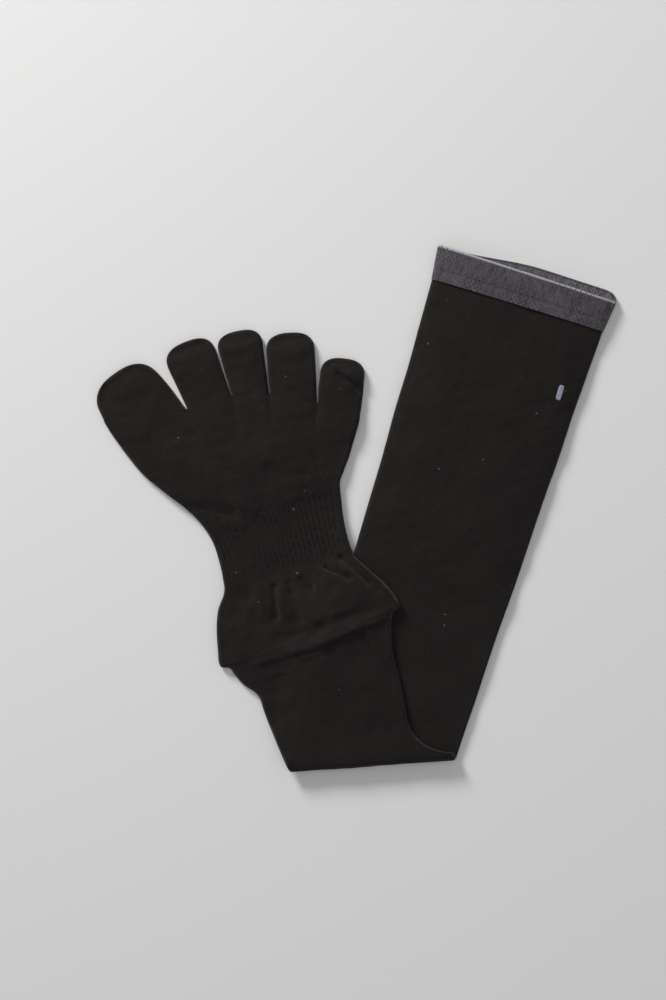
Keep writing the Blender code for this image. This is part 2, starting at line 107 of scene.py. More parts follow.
# Ribs of the arch band
RIB_DEPTH = 0.00038
RIBS = 26  # across its upper layer
RIBS_LEAD = 0.6  # rows before ARCH_ROW at which they begin
RIBS_RISE = 1.2  # rows over which they come up
RIBS_TRAIL = 0.2  # rows past BALL_ROW at which they end
RIBS_FALL = 1.6  # rows over which they sink
LEFT_RIBS = 0.3  # their depth near the left side, as a share of RIB_DEPTH
LEFT_RIBS_END = 0.2  # shares of the width at which they start to deepen, and over which they do
LEFT_RIBS_RUN = 0.25

# Creases, side folds and unevenness
FOLD_HEIGHT = 0.0016  # the highest crease
RIM_BEAD = 0.00030  # height of the thicker line of knit along a side fold
RIM_BEAD_AT = 0.0017  # how far in from the fold it runs
RIM_BEAD_WIDTH = 0.0013
RIM_VALLEY = 0.25  # depth of the valley behind it, as a share of RIM_BEAD
SOFT_LUMPS = 0.00034  # slow unevenness of knit that lies loose
LUMP_SPAN = 0.030  # from one lump to the next
FINE_LUMPS = 0.4  # height of the finer lumps, as a share of the broad ones'
FINE_LUMP_SPAN = 0.011
PRESSED_LUMPS = 0.4  # what is left of the lumps where the foot presses the leg flat
PRESSED_BELOW = 0.115  # how far up the leg that is, and the run over which it ends
PRESSED_RUN = 0.03
TIP_LUMPS_RUN = 0.004  # run over which the lumps begin behind a toe's tip
EDGE_WAVER = 0.00022  # how far a side fold strays from its line
EDGE_WAVER_SPAN = 0.055
WAVE_COUNT = 14
WAVE_RANGE = (0.6, 1.5)  # how far the waves' numbers stray from the one asked for
WAVE_STEEPNESS = 3  # how much faster the unevenness changes upward than along the floor

# Stitches
WALE = 0.00115  # from one column of stitches to the next
COURSE = 0.00085  # from one row of stitches to the next
STITCH_SLANT = 0.8  # how far a stitch's V drops from its middle, in courses
STITCH_BEAD = 0.55  # share of a strand's height that its loops give

# The cuff's rib and its sewn line
WELT_RIB = 0.0015
WELT_RIB_DEPTH = 0.00010
WELT_LINE = CUFF_HEIGHT * 0.33  # where it is sewn down
WELT_LINE_WIDTH = 0.0007
WELT_LINE_DEPTH = 0.00022
WELT_LINE_FLATTENS = 0.6  # share of the rib that the sewn line takes away
WELT_PUFF = 0.0002  # how far the welt swells between its line and its rim
WELT_LUMPS = 0.00012
WELT_LUMP_SPAN = 0.014
WELT_SEAM_RUN = 0.0006  # run over which the relief begins above the seam
UNDERSIDE_RELIEF = 0.25  # what is left of the relief on the layer that lies on the floor

# How finely the skins are cut
SIDE_STEPS = 5  # steps of a quarter turn round a side fold
KNIT_COLUMNS = 128  # columns across one layer
TOE_COLUMNS = 46
CUFF_SIDE_STEPS = 6
CUFF_COLUMNS = 360
LEG_ROWS = 226
TURN_ROWS = 16
LEG_INNER_ROWS = 26
INNER_STEP = 3  # outer rows to one row of the inner wall, past the fold
TOE_ROWS = 58
TIP_ARC = (4, 14, 26, 38, 50, 62, 76, 90)  # degrees over a toe's tip
INNER_TIP_ROWS = (2, 4, 6, 8)
INNER_TOE_ROWS = 8
CUFF_ROWS = 44
RIM_ROWS = 13
CUFF_INNER_ROWS = 12

# Finishes. The colours are linear red, green, blue and opacity, and the scales are features a metre.
KNIT_DARK = (0.0029, 0.0022, 0.0022, 1.0)
KNIT_LIGHT = (0.0230, 0.0180, 0.0178, 1.0)
KNIT_SHEEN_TINT = (0.55, 0.46, 0.45, 1.0)
DASH_COLOUR = (0.0026, 0.0022, 0.0022, 1.0)
LINT_COLOUR = (0.16, 0.15, 0.15, 1.0)
WELT_DARK = (0.024, 0.022, 0.026, 1.0)
WELT_LIGHT = (0.118, 0.109, 0.124, 1.0)
LOW_WELT_DARK = (0.027, 0.0235, 0.0275, 1.0)
LOW_WELT_LIGHT = (0.124, 0.111, 0.127, 1.0)
INNER_WELT_DARK = (0.050, 0.046, 0.052, 1.0)
INNER_WELT_LIGHT = (0.210, 0.196, 0.214, 1.0)
WELT_SHEEN_TINT = (0.85, 0.83, 0.88, 1.0)
# painted highlight of the cuff's rolled rim
RIM_HIGHLIGHT_COLOUR = (0.46, 0.43, 0.47, 1.0)
LINE_COLOUR = (0.018, 0.016, 0.019, 1.0)
DOT_COLOUR = (0.009, 0.008, 0.010, 1.0)
PRINT_DARK = (0.24, 0.24, 0.31, 1.0)
PRINT_LIGHT = (0.36, 0.36, 0.44, 1.0)
YARN_SCALE = 1050
MOTTLE_SCALE = 42
LINT_SCALE = 420
LINT_RANGE = (0.882, 0.905)  # noise below the first is bare, and above the second lint
LINT_STRENGTH = 0.55
DASH_SPACING = 0.0052  # from one dark dash of the arch band's grooves to the next
DASH_SHIFT = 0.37  # how far the next groove's dashes are shifted, in spacings
DOT_SPACING = 0.0028  # from one dark dot of the welt's grooves to the next
DOT_SHIFT = 0.5

# Sections of the foot. The along columns are shares of FOOT_REACH and the cross columns of ANKLE_FLAT_WIDTH,
# for the two ends of a section. bow is a share of TOE_LINE_BOW, and hollow of FOOT_HOLLOW.
FOOT_SECTIONS = (
    # left along, left cross, right along, right cross, bow, hollow
    (0.118, -0.499, -0.026, 0.406, 0.0, 0.27),
    (0.151, -0.496, 0.016, 0.340, 0.0, 0.32),
    (0.193, -0.490, 0.066, 0.338, 0.0, 0.39),
    (0.236, -0.477, 0.120, 0.373, 0.0, 0.46),
    (0.280, -0.466, 0.173, 0.405, 0.0, 0.54),
    (0.316, -0.518, 0.227, 0.433, 0.0, 0.66),
    (0.348, -0.545, 0.280, 0.488, 0.0, 0.84),
    (0.370, -0.556, 0.318, 0.545, 0.0, 0.94),
    (0.386, -0.606, 0.328, 0.610, 0.0, 1.00),
    (0.424, -0.574, 0.360, 0.608, 0.0, 1.10),
    (0.470, -0.527, 0.397, 0.585, 0.0, 1.15),
    (0.512, -0.466, 0.430, 0.548, 0.0, 1.02),
    (0.546, -0.380, 0.460, 0.514, 0.0, 0.80),
    (0.580, -0.345, 0.492, 0.488, 0.0, 0.62),
    (0.618, -0.319, 0.538, 0.498, 0.0, 0.56),
    (0.667, -0.301, 0.587, 0.529, 0.0, 0.56),
    (0.720, -0.317, 0.631, 0.571, 0.0, 0.70),
    (0.773, -0.366, 0.667, 0.608, 0.0, 0.88),
    (0.831, -0.443, 0.691, 0.671, 0.11, 0.96),
    (0.889, -0.513, 0.713, 0.730, 0.34, 1.00),
    (0.942, -0.550, 0.738, 0.788, 0.62, 0.94),
    (0.991, -0.576, 0.762, 0.846, 0.84, 0.82),
    (1.027, -0.593, 0.781, 0.892, 1.00, 0.70),
)
# Rows of FOOT_SECTIONS, counted from 1, at which one knitted zone ends and the next starts. Row 0 is the
# turn's end.
HEEL_ROW = 8
ARCH_ROW = 14
BALL_ROW = 18
TOE_ROW = 23
PARTING_ROWS = 2.5  # rows before the toe line over which the ball's crown turns into the toes' own ones
TOE_LINE_LEAN = 1.35  # power that leans the toe line's bow towards the little toe, 1 is even

KNIT_ZONES = (
    # name, first section, last section, grid rows between them
    ("leg", 0, HEEL_ROW, 66),
    ("heel", HEEL_ROW, ARCH_ROW, 110),
    ("arch_band", ARCH_ROW, BALL_ROW, 76),
    ("ball_of_foot", BALL_ROW, TOE_ROW, 84),
)

# Toes, from the big one. from and to are shares of the toe line, splay is the lean to the right of the foot's
# axis in degrees, length is a share of TOE_LENGTH and width of TOE_WIDTH.
TOES = (
    # name, from, to, splay, length, width
    ("big_toe", 0.000, 0.312, -9.5, 0.835, 1.000),
    ("second_toe", 0.312, 0.494, 4.0, 0.950, 0.820),
    ("third_toe", 0.494, 0.645, 13.8, 0.950, 0.740),
    ("fourth_toe", 0.645, 0.835, 22.4, 0.955, 0.755),
    ("little_toe", 0.835, 1.000, 31.6, 0.790, 0.690),
)

# Soft ridges and grooves along a line. The along columns are shares of FOOT_REACH, the cross and spread
# columns of ANKLE_FLAT_WIDTH, and height is a share of FOLD_HEIGHT. steep is the share of the spread that is
# left on the right of the line, seen along it: under 1 the ridge drops off there, as where one fold lies over
# another.
CREASES = (
    # from along, from cross, to along, to cross, spread, height, steep
    # the rolled edge where the gathered heel lies over the leg's last courses
    (0.352, -0.360, 0.338, -0.150, 0.046, 0.70, 0.40),
    (0.338, -0.130, 0.326, 0.030, 0.046, 1.00, 0.32),
    (0.329, 0.060, 0.322, 0.290, 0.048, 1.30, 0.28),
    (0.324, 0.300, 0.314, 0.540, 0.048, 1.20, 0.30),
    (0.380, -0.180, 0.364, 0.090, 0.044, -0.70, 1.00),
    (0.364, 0.090, 0.350, 0.440, 0.042, -0.85, 1.00),
    (0.310, -0.300, 0.296, -0.215, 0.018, 0.40, 0.60),
    (0.303, -0.100, 0.299, 0.080, 0.018, -0.30, 1.00),
    (0.300, 0.180, 0.298, 0.440, 0.020, -0.25, 1.00),
    # puckers that fan out below the arch band
    (0.502, -0.068, 0.436, -0.140, 0.025, -1.43, 1.10),
    (0.500, -0.030, 0.448, -0.096, 0.025, 0.43, 1.40),
    (0.494, 0.026, 0.472, 0.014, 0.032, -1.13, 0.80),
    (0.472, 0.014, 0.408, -0.020, 0.035, -0.61, 1.20),
    (0.500, 0.078, 0.425, 0.046, 0.029, 0.28, 1.40),
    (0.490, 0.112, 0.464, 0.136, 0.029, -1.07, 0.90),
    (0.464, 0.136, 0.396, 0.186, 0.038, -0.50, 1.20),
    (0.486, 0.200, 0.496, 0.250, 0.019, 0.33, 1.60),
    (0.496, 0.250, 0.478, 0.280, 0.019, 0.30, 1.60),
    (0.482, 0.226, 0.440, 0.262, 0.029, -0.68, 1.30),
    (0.488, 0.286, 0.446, 0.388, 0.025, -1.28, 0.80),
    (0.446, 0.388, 0.414, 0.430, 0.035, -0.35, 1.00),
    (0.498, 0.332, 0.452, 0.430, 0.021, 0.30, 1.80),
    (0.496, 0.408, 0.412, 0.500, 0.027, -1.35, 0.80),
    (0.412, 0.500, 0.388, 0.520, 0.032, -0.57, 1.00),
    (0.504, 0.452, 0.380, 0.556, 0.032, 0.48, 1.20),
    (0.440, 0.320, 0.376, 0.400, 0.048, -0.28, 1.00),
    (0.490, -0.372, 0.520, -0.290, 0.059, -0.89, 1.00),
    (0.486, -0.420, 0.452, -0.300, 0.040, -0.50, 1.00),
    (0.534, -0.345, 0.466, -0.452, 0.035, 0.37, 1.40),
    (0.440, -0.260, 0.430, -0.170, 0.043, -0.43, 1.00),
    (0.404, -0.240, 0.396, -0.080, 0.067, -0.32, 1.00),
    (0.416, 0.180, 0.408, 0.330, 0.067, 0.21, 1.00),
    (0.318, 0.540, 0.302, 0.556, 0.027, -0.93, 1.00),
    # shallow gathers between the puckers
    (0.508, -0.240, 0.462, -0.262, 0.029, -0.35, 1.00),
    (0.510, -0.180, 0.458, -0.208, 0.027, 0.21, 1.00),
    (0.506, -0.125, 0.464, -0.160, 0.025, -0.28, 1.00),
    # dents of the ball, where it lies loose
    (0.772, -0.335, 0.712, -0.105, 0.046, -1.05, 0.80),
    (0.735, -0.050, 0.696, 0.030, 0.030, 0.65, 1.30),
    (0.956, 0.310, 0.845, 0.253, 0.070, -0.50, 1.00),
    (0.930, 0.400, 0.830, 0.350, 0.060, 0.30, 1.00),
    (0.841, 0.561, 0.705, 0.567, 0.056, -0.55, 1.00),
    (0.860, 0.640, 0.740, 0.660, 0.040, 0.30, 1.00),
    (0.890, -0.160, 0.812, -0.010, 0.070, -0.45, 1.00),
    (0.900, -0.330, 0.860, -0.180, 0.060, 0.30, 1.00),
    (0.765, 0.240, 0.720, 0.420, 0.040, -0.45, 0.80),
    (0.850, 0.060, 0.790, 0.180, 0.060, 0.35, 1.00),
    (0.985, -0.300, 0.930, -0.120, 0.050, -0.35, 1.00),
    (0.812, -0.380, 0.780, -0.280, 0.030, 0.40, 1.00),
    # bends of the toes
    (0.908, 0.905, 0.846, 0.990, 0.022, -0.95, 1.00),
    (0.930, 0.915, 0.876, 1.005, 0.020, 0.45, 1.00),
    (1.098, -0.040, 1.090, 0.140, 0.040, -0.25, 1.00),
    (1.100, -0.500, 1.070, -0.330, 0.050, -0.30, 1.00),
    (1.060, 0.300, 1.050, 0.430, 0.040, -0.22, 1.00),
    (0.990, 0.600, 0.968, 0.740, 0.040, -0.25, 1.00),
    (1.052, -0.590, 0.990, -0.555, 0.022, -0.70, 1.00),
    # the leg, loose above the fold
    (0.250, -0.500, 0.205, -0.330, 0.040, -0.50, 1.00),
    (0.270, -0.470, 0.240, -0.300, 0.036, 0.35, 1.00),
    (0.160, 0.230, 0.050, 0.320, 0.044, -0.40, 1.00),
    (0.200, -0.100, 0.120, 0.060, 0.070, 0.22, 1.00),
)


def mix(a, b, share):
    return a + (b - a) * share


def smooth(share):
    share = np.clip(share, 0.0, 1.0)
    return share * share * (3 - 2 * share)


def crown(share, power):
    """1 in the middle of a width and 0 at its two ends."""
    return 1 - np.abs(2 * share - 1) ** power


def unit(angle):
    return np.array((math.cos(angle), math.sin(angle)))


FOLD_ALONG = unit(FOLD_TILT)
FOLD_OUT = np.array((math.sin(FOLD_TILT), -math.cos(FOLD_TILT)))
TURN_AXIS_Z = EDGE_LOFT + TURN_HOLLOW / 2
TURN_DRIFT = math.pi * (TURN_AXIS_Z - EDGE_LOFT / 2) * math.tan(FOLD_TILT)
TURN_Y = TURN_AXIS_Z / math.cos(FOLD_TILT)
FOOT_ALONG = np.array((-math.sin(2 * FOLD_TILT), math.cos(2 * FOLD_TILT)))
FOOT_CROSS = unit(2 * FOLD_TILT)


# Plan and heights of the leg and the foot

def leg_middle(y):
    return LEG_SIDESTEP * y / LEG_LENGTH


def leg_half_width(y):
    widening = np.maximum(y, 0.0) / LEG_LENGTH
    return mix(ANKLE_FLAT_WIDTH, CUFF_FLAT_WIDTH, widening**LEG_TAPER) / 2


def leg_hollow(x, y):
    """Free height inside the leg at a point of its plan."""
    across = (x - leg_middle(y)) / leg_half_width(y)
    fullness = smooth((y / LEG_LENGTH - LOFT_STARTS) / (LOFT_ENDS - LOFT_STARTS))
    return mix(PRESSED_HOLLOW, LEG_HOLLOW, fullness * crown(np.clip(across, -1, 1) / 2 + 0.5, LEG_CROWN))


def leg_ends(y):
    """Left and right ends of the leg's sections: square to it at the cuff, and along the fold at the fold."""
    tilt = FOLD_TILT * (1 - smooth(y / LEG_LENGTH / SKEW_ENDS))
    ends = []
    for side in (-1, 1):
        end_y = y + side * leg_half_width(y) * np.tan(tilt)
        ends.append(np.stack((leg_middle(end_y) + side * leg_half_width(end_y), end_y), -1))
    return ends


def floor_height(plan):
    """What the foot's underside rests on: the leg, a run down from its left side, and then the floor."""
    x, y = plan[..., 0], plan[..., 1]
    left_side = leg_middle(y) - leg_half_width(y)
    stacked = 2 * KNIT + leg_hollow(np.maximum(x, left_side), y) + REST_GAP
    stacked = stacked * (1 - smooth((left_side - x) / DRAPE_RUN))
    from_turn = -(plan @ FOLD_OUT + TURN_AXIS_Z)
    spring = np.exp(-((np.maximum(from_turn, 0.0) / SPRING_RUN) ** 2))
    return stacked + (TURN_HOLLOW - REST_GAP) * spring


def foot_point(along, cross):
    """A plan point from shares of the foot's reach and of the ankle's width."""
    return FOOT_ALONG * (along * FOOT_REACH) + FOOT_CROSS * (cross * ANKLE_FLAT_WIDTH)


def foot_rows():
    """Left end, right end, bow and hollow of each section, from the end of the turn."""
    left, right = (ends[0] for ends in leg_ends(np.array([TURN_Y])))
    drift = -FOLD_ALONG * TURN_DRIFT
    rows = [(*(left + drift), *(right + drift), 0.0, PRESSED_HOLLOW)]
    for left_along, left_cross, right_along, right_cross, bow, hollow in FOOT_SECTIONS:
        ends = (*foot_point(left_along, left_cross), *foot_point(right_along, right_cross))
        rows.append((*ends, bow * TOE_LINE_BOW, hollow * FOOT_HOLLOW))
    return np.array(rows)


FOOT_ROWS = foot_rows()


def foot_sections(places):
    """Left and right ends, bow vectors and hollows at fractional rows of FOOT_ROWS, on a smooth curve."""
    last = len(FOOT_ROWS) - 1
    row = np.clip(places.astype(int), 0, last - 1)
    t = (places - row)[:, None]
    before, start, end, after = (FOOT_ROWS[np.clip(row + step, 0, last)] for step in (-1, 0, 1, 2))
    leaving = (end - before) / 2
    arriving = (after - start) / 2
    values = mix(start, end, smooth(t)) + leaving * (t * (1 - t) ** 2) - arriving * (t**2 * (1 - t))
    left, right = values[:, 0:2], values[:, 2:4]
    run = (right - left) / np.linalg.norm(right - left, axis=1, keepdims=True)
    forward = np.stack((-run[:, 1], run[:, 0]), -1)
    return left, right, forward * values[:, 4:5], values[:, 5]


def crease_height(plan):
    """How far the creases lift or sink the foot's upper layer."""
    lift = np.zeros(plan.shape[:-1])
    for from_along, from_cross, to_along, to_cross, spread, height, steep in CREASES:
        start, end = foot_point(from_along, from_cross), foot_point(to_along, to_cross)
        run = end - start
        share = np.clip((plan - start) @ run / (run @ run), 0.0, 1.0)
        away = np.linalg.norm(plan - start - share[..., None] * run, axis=-1)
        to_right = (plan - start) @ np.array((run[1], -run[0])) / np.linalg.norm(run)
        own_spread = spread * ANKLE_FLAT_WIDTH
        own_spread = own_spread * mix(1.0, steep, smooth(to_right / own_spread + 0.5))
        lift += height * FOLD_HEIGHT * np.exp(-((away / own_spread) ** 2))
    return lift


def rim_bead(from_edge):
    """The line of knit that stands up along a side fold, with a shallow valley behind it."""
    bead = np.exp(-(((from_edge - RIM_BEAD_AT) / RIM_BEAD_WIDTH) ** 2))
    valley = np.exp(-(((from_edge - 3 * RIM_BEAD_AT) / (2 * RIM_BEAD_WIDTH)) ** 2))
    return RIM_BEAD * (bead - RIM_VALLEY * valley)


def rib_height(places, across):
    """The arch band's ribs, which fade out at both its ends and are fainter near its left side."""
    begins = smooth((places - ARCH_ROW + RIBS_LEAD) / RIBS_RISE)
    ends = smooth((BALL_ROW + RIBS_TRAIL - places) / RIBS_FALL)
    strength = mix(LEFT_RIBS, 1.0, smooth((across - LEFT_RIBS_END) / LEFT_RIBS_RUN))
    return RIB_DEPTH / 2 * (begins * ends)[:, None] * np.cos(2 * math.pi * RIBS * across) * strength


def toe_line_bow(across):
    return np.sin(math.pi * np.clip(across, 0, 1) ** TOE_LINE_LEAN)


def toe_lobes(across):
    """The crown of each toe, side by side along the toe line."""
    lobes = np.zeros_like(across)
    for _, start, end, *_ in TOES:
        inside = (across >= start) & (across <= end)
        lobes = np.where(inside, crown((across - start) / (end - start), FOOT_CROWN), lobes)
    return lobes


def waves(points, wavelength, seed):
    """Slow unevenness, mostly between -1 and 1, continuous in space: plane waves in seeded directions."""
    dice = np.random.default_rng(seed)
    total = np.zeros(points.shape[:-1])
    for _ in range(WAVE_COUNT):
        direction = dice.normal(size=3)
        direction[2] *= WAVE_STEEPNESS
        direction *= 2 * math.pi / wavelength / np.linalg.norm(direction[:2]) * dice.uniform(*WAVE_RANGE)
        total += np.sin(points @ direction + dice.uniform(0, 2 * math.pi))
    return total / math.sqrt(WAVE_COUNT)


def soft_lumps(points):
    """The unevenness of knit that lies loose: broad lumps with finer ones on them."""
    return waves(points, LUMP_SPAN, seed=3) + FINE_LUMPS * waves(points, FINE_LUMP_SPAN, seed=5)


# Rings of points round a tube

class Ring:
    """The columns of a skin: how far across, how far round a side fold, and which layer."""

    def __init__(self, arc, flat):
        angles = np.linspace(0, math.pi / 2, arc + 1)
        even = np.linspace(0, 1, flat + 2)[1:-1]
        share = np.concatenate((np.zeros(arc + 1), even, np.ones(arc + 1)))
        bend = np.concatenate((-np.cos(angles), np.zeros(flat), np.cos(angles[::-1])))
        roundness = np.concatenate((np.sin(angles), np.ones(flat), np.sin(angles[::-1])))
        self.share = np.concatenate((share, share[-2:0:-1]))
        self.bend = np.concatenate((bend, bend[-2:0:-1]))
        self.roundness = np.concatenate((roundness, roundness[-2:0:-1]))
        self.on_a = np.arange(len(self.share)) < len(share)
        self.side = np.where(self.on_a, 1.0, -1.0)

    def around(self, width):
        """Distance round the tube at each column, with the first column once more at the end."""
        rim = EDGE_LOFT / 2
        x = rim + (width - 2 * rim) * self.share + rim * self.bend
        z = rim * self.roundness * self.side
        steps = np.hypot(np.diff(x, append=x[0]), np.diff(z, append=z[0]))
        return np.concatenate(([0.0], np.cumsum(steps)))

    def plan(self, left, right, inset, rim=EDGE_LOFT / 2):
        """(plan points, share across) of every row and column."""
        width = np.linalg.norm(right - left, axis=1)[:, None]
        run = (right - left) / width
        x = rim + (width - 2 * rim) * self.share + (rim - inset) * self.bend
        return left[:, None] + run[:, None] * x[..., None], x / width

    def height(self, on_a, on_b, inset, roundness=1.0):
        """Height of each point, pulled to the middle of the two layers round a side fold."""
        middle = (on_a + on_b) / 2
        own = np.where(self.on_a, on_a, on_b)
        reach = np.abs(own - middle) - inset
        return middle + np.sign(own - middle) * reach * self.roundness * roundness


def solid_points(plan, height):
    return np.concatenate((plan, np.broadcast_to(height, plan.shape[:-1])[..., None]), -1)


def leg_skin(ring, ys, inset):
    left, right = leg_ends(ys)
    plan, _ = ring.plan(left, right, inset)
    top = 2 * KNIT + leg_hollow(plan[..., 0], plan[..., 1])
    return solid_points(plan, ring.height(np.zeros_like(top), top, inset))


def turn_skin(ring, angles, inset):
    left, right = leg_ends(np.full(len(angles), TURN_Y))
    plan, _ = ring.plan(left, right, inset)
    flat = np.zeros(len(ring.share))
    radius = TURN_AXIS_Z - ring.height(flat, flat + EDGE_LOFT, inset)
    turned = angles[:, None]
    plan = plan - FOLD_ALONG * (TURN_DRIFT * turned / math.pi)[..., None]
    plan = plan + FOLD_OUT * (radius * np.sin(turned))[..., None]
    return solid_points(plan, TURN_AXIS_Z - radius * np.cos(turned))


def foot_skin(ring, places, inset):
    left, right, bow, hollow = foot_sections(places)
    plan, across = ring.plan(left, right, inset)
    plan = plan + bow[:, None] * toe_line_bow(across)[..., None]
    parting = smooth((places - (TOE_ROW - PARTING_ROWS)) / PARTING_ROWS)[:, None]
    fullness = mix(crown(across, FOOT_CROWN), toe_lobes(across), parting)
    floor = floor_height(plan)
    loft = 2 * KNIT + mix(PRESSED_HOLLOW, hollow[:, None], fullness)
    width = np.linalg.norm(right - left, axis=1)[:, None]
    from_edge = np.minimum(across, 1 - across) * width
    relief = (crease_height(plan) + rib_height(places, across)) * crown(across, RELIEF_CROWN)
    relief = relief + rim_bead(from_edge)
    return solid_points(plan, ring.height(floor + loft + relief, floor, inset))


# Meshes from grids

def row_normals(grid):
    """Outward unit normals of a grid whose columns close on themselves."""
    around = np.roll(grid, -1, axis=1) - np.roll(grid, 1, axis=1)
    along = np.gradient(grid, axis=0)
    normals = np.cross(around, along)
    tiny = 1e-12
    normals = normals / np.maximum(np.linalg.norm(normals, axis=-1, keepdims=True), tiny)
    from_middle = grid - grid.mean(axis=1, keepdims=True)
    return normals * np.sign((normals * from_middle).sum())


def strip_faces(first, second):
    """Quads between two rings of vertex numbers."""
    return np.stack((first, np.roll(first, -1), np.roll(second, -1), second), -1)


def shell(name, outer, inner, around, along, inner_along, finish, turned_over=False, cap=False):
    """A closed wall from an outer and an inner grid with the same columns, mapped in metres."""
    rows, columns = outer.shape[:2]
    outer_numbers = np.arange(rows * columns).reshape(rows, columns)
    inner_numbers = rows * columns + np.arange(len(inner) * columns).reshape(-1, columns)
    faces = [strip_faces(a, b) for a, b in zip(outer_numbers, outer_numbers[1:])]
    spans = [(along[row], along[row + 1]) for row in range(rows - 1)]
    faces += [strip_faces(b, a) for a, b in zip(inner_numbers, inner_numbers[1:])]
    spans += [(b, a) for a, b in zip(inner_along, inner_along[1:])]
    faces.append(strip_faces(outer_numbers[-1], inner_numbers[-1]))
    spans.append((along[-1], inner_along[-1]))
    if not cap:
        faces.append(strip_faces(inner_numbers[0], outer_numbers[0]))
        spans.append((inner_along[0], along[0]))
    quads = np.concatenate(faces)
    if turned_over:
        quads = quads[:, ::-1]
    points = np.concatenate((outer.reshape(-1, 3), inner.reshape(-1, 3)))
    polygons = [tuple(int(v) for v in quad) for quad in quads]
    if cap:
        tips = (tuple(int(v) for v in outer_numbers[0][::-1]), tuple(int(v) for v in inner_numbers[0]))
        polygons += [tip[::-1] if turned_over else tip for tip in tips]
    mesh = bpy.data.meshes.new(name)
    mesh.from_pydata([tuple(point) for point in points + LEG_ORIGIN], [], polygons)
    corners = np.zeros((len(mesh.loops), 2))
    u_pairs = np.stack((around[:-1], around[1:], around[1:], around[:-1]), -1)
    for number, (v_first, v_second) in enumerate(spans):
        block = np.zeros((columns, 4, 2))
        block[..., 0] = u_pairs
        block[..., 1] = (v_first, v_first, v_second, v_second)
        if turned_over:
            block = block[:, ::-1]
        corners[number * columns * 4 : (number + 1) * columns * 4] = block.reshape(-1, 2)
    layer = mesh.uv_layers.new(name="knit")
    layer.data.foreach_set("uv", corners.ravel())
    mesh.materials.append(finish)
    mesh.shade_smooth()
    mesh.update()
    made = bpy.data.objects.new(name, mesh)
    bpy.context.scene.collection.objects.link(made)
    return made


def smooth_borders(made, normals):
    """Gives the outer rows normals worked out across the borders, so that neighbouring zones shade alike."""
    mesh = made.data
    own = np.zeros(len(mesh.vertices) * 3)
    mesh.vertex_normals.foreach_get("vector", own)
    own = own.reshape(-1, 3)
    own[: len(normals)] = normals
    mesh.normals_split_custom_set_from_vertices(own.tolist())


# Procedural finishes

def maths(tree, operation, first, second=0.0, third=0.0):
    made = tree.nodes.new("ShaderNodeMath")
    made.operation = operation
    for number, value in enumerate((first, second, third)):
        if isinstance(value, (int, float)):
            made.inputs[number].default_value = value
        else:
            tree.links.new(value, made.inputs[number])
    return made.outputs[0]


def noise_value(tree, scale, detail=2.0, roughness=0.5, stretch=None):
    """Noise in the object's own metres, with scale in features a metre."""
    place = tree.nodes.new("ShaderNodeTexCoord").outputs["Object"]
    if stretch:
        mapping = tree.nodes.new("ShaderNodeMapping")
        mapping.inputs["Scale"].default_value = stretch
        tree.links.new(place, mapping.inputs["Vector"])
        place = mapping.outputs["Vector"]
    made = tree.nodes.new("ShaderNodeTexNoise")
    made.inputs["Scale"].default_value = scale
    made.inputs["Detail"].default_value = detail
    made.inputs["Roughness"].default_value = roughness
    tree.links.new(place, made.inputs["Vector"])
    return made.outputs["Fac"]


def knit_places(tree):
    """The two sockets of the metric map: round the tube, and along it."""
    layer = tree.nodes.new("ShaderNodeUVMap")
    layer.uv_map = "knit"
    split = tree.nodes.new("ShaderNodeSeparateXYZ")
    tree.links.new(layer.outputs["UV"], split.inputs[0])
    return split.outputs["X"], split.outputs["Y"]


def fraction(tree, value, step, shift=0.0):
    """How far value is through its own step, from 0 to 1."""
    return maths(tree, "FRACT", maths(tree, "ADD", maths(tree, "DIVIDE", value, step), shift))


def stretched(tree, value, low, high):
    """value, from low to high, as a share from 0 to 1."""
    made = tree.nodes.new("ShaderNodeMapRange")
    made.inputs["From Min"].default_value = low
    made.inputs["From Max"].default_value = high
    tree.links.new(value, made.inputs["Value"])
    return made.outputs["Result"]


def closeness(tree, value, place, far, near):
    """0 where value is further than far from place, and 1 where it is closer than near."""
    return stretched(tree, maths(tree, "ABSOLUTE", maths(tree, "SUBTRACT", value, place)), far, near)


def stitch_height(tree, wale, course):
    """Columns of V-shaped stitches: 0 in the grooves and 1 on a loop's back."""
    around, along = knit_places(tree)
    from_middle = maths(tree, "ABSOLUTE", maths(tree, "SUBTRACT", fraction(tree, around, wale), 0.5))
    from_middle = maths(tree, "MULTIPLY", from_middle, 2.0)
    off_strand = maths(tree, "MULTIPLY_ADD", from_middle, 2.0, -1.0)
    strand = maths(tree, "SUBTRACT", 1.0, maths(tree, "MULTIPLY", off_strand, off_strand))
    slanted = maths(tree, "MULTIPLY_ADD", from_middle, STITCH_SLANT, maths(tree, "DIVIDE", along, course))
    bead = maths(tree, "SINE", maths(tree, "MULTIPLY", maths(tree, "FRACT", slanted), math.pi))
    return maths(tree, "MULTIPLY", strand, maths(tree, "MULTIPLY_ADD", bead, STITCH_BEAD, 1 - STITCH_BEAD))


def groove_dashes(tree, rib, spacing, shift, groove_range, dash_range):
    """Dashes in the grooves between ribs, each groove's shifted against its neighbour's."""
    around, along = knit_places(tree)
    groove = closeness(tree, fraction(tree, around, rib), 0.5, *groove_range)
    groove_shift = maths(tree, "MULTIPLY", maths(tree, "FLOOR", maths(tree, "DIVIDE", around, rib)), shift)
    dash = stretched(tree, fraction(tree, along, spacing, groove_shift), *dash_range)
    return maths(tree, "MULTIPLY", groove, dash)


def in_patches(tree, value, scale, low, high):
    """value where slow noise is high, and nothing elsewhere."""
    return maths(tree, "MULTIPLY", value, stretched(tree, noise_value(tree, scale, 1.0), low, high))


